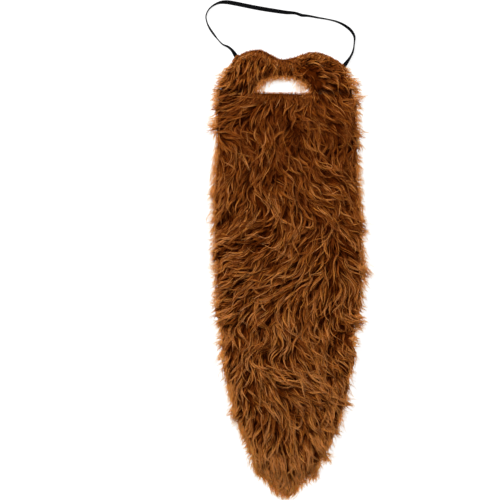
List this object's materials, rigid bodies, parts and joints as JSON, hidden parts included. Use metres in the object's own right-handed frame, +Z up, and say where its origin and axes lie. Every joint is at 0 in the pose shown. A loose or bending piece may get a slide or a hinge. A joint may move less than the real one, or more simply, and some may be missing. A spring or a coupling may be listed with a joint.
{
  "type": "fake beard",
  "caption": "Long costume beard of shaggy fake fur with its moustache, a mouth opening and a thin elastic band for the head, lying flat.",
  "frame": {"origin": "on the surface that the beard lies on, under the middle of the fur's outline", "axes": "+X across the beard, +Y from the tip up to the moustache and the elastic, +Z up out of the pile"},
  "size_m": [0.2384, 0.6945, 0.0218],
  "materials": {
    "fur_brown": "long acrylic pile in wavy clumps, chestnut brown, dark at the roots and ginger at the tips, with a soft sheen",
    "knit_brown": "matt knitted ground cloth with fine ribs",
    "elastic_black": "matt black braided elastic",
    "thread_black": "black sewing thread, slightly shiny"
  },
  "bodies": {
    "root": {"backing_cloth": "knit_brown", "beard_fur": "fur_brown", "moustache_fur": "fur_brown", "elastic_strap": "elastic_black", "strap_tack_left": "thread_black", "strap_tack_right": "thread_black"}
  },
  "joints": []
}
